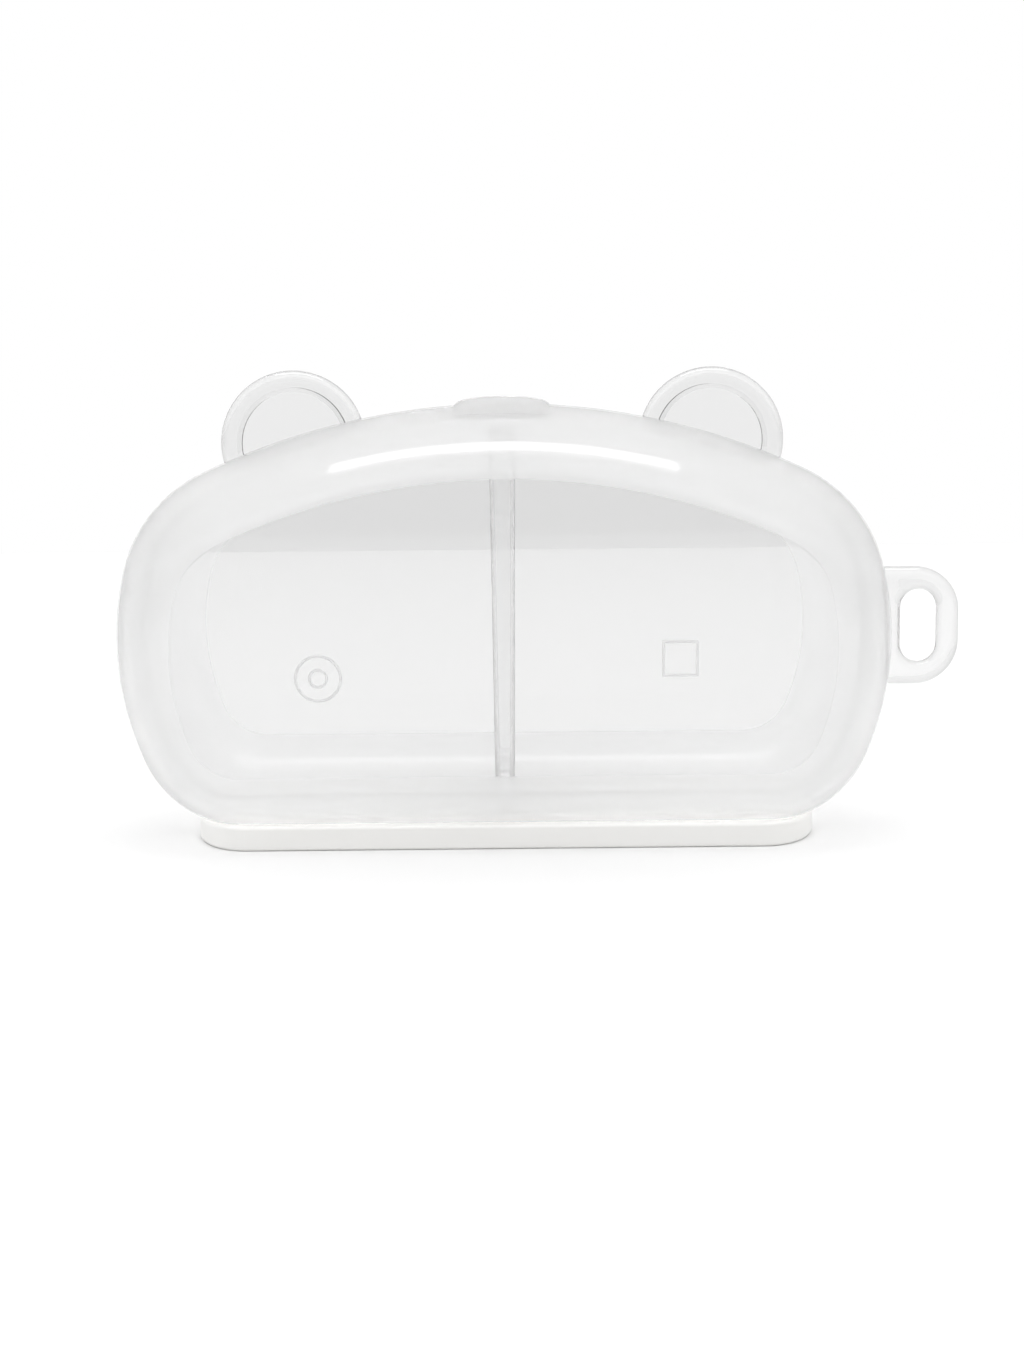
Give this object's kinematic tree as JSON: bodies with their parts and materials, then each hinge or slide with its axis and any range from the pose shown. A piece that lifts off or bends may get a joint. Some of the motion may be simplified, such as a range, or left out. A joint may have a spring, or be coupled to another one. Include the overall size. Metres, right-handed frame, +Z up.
{
  "type": "contact lens case",
  "caption": "Clear bear-shaped clamshell case with two compartments, a carrying loop and a white hinged foot.",
  "frame": {"origin": "middle of the foot's underside, midway between the front and rear flat walls", "axes": "+Z up through the ears, +X towards the carrying loop along the longest extent, -Y out of the front cover"},
  "size_m": [0.1367, 0.044, 0.0751],
  "materials": {
    "clear_shell": "clear, polished",
    "clear_divider": "clear, polished",
    "white_foot": "satin white",
    "hinge_pin": "plain drawn wire"
  },
  "bodies": {
    "case_body": {"rear_shell": "clear_shell", "compartment_divider": "clear_divider", "rear_foot_leaf": "white_foot", "hinge_pin": "hinge_pin"},
    "cover": {"front_cover": "clear_shell", "front_foot_leaf": "white_foot"}
  },
  "joints": [
    {"name": "cover_hinge", "type": "hinge", "parent": "case_body", "child": "cover", "pos_m": [0, 0, 0.0015], "axis": [1, 0, 0], "range_deg": [0, 100]}
  ]
}
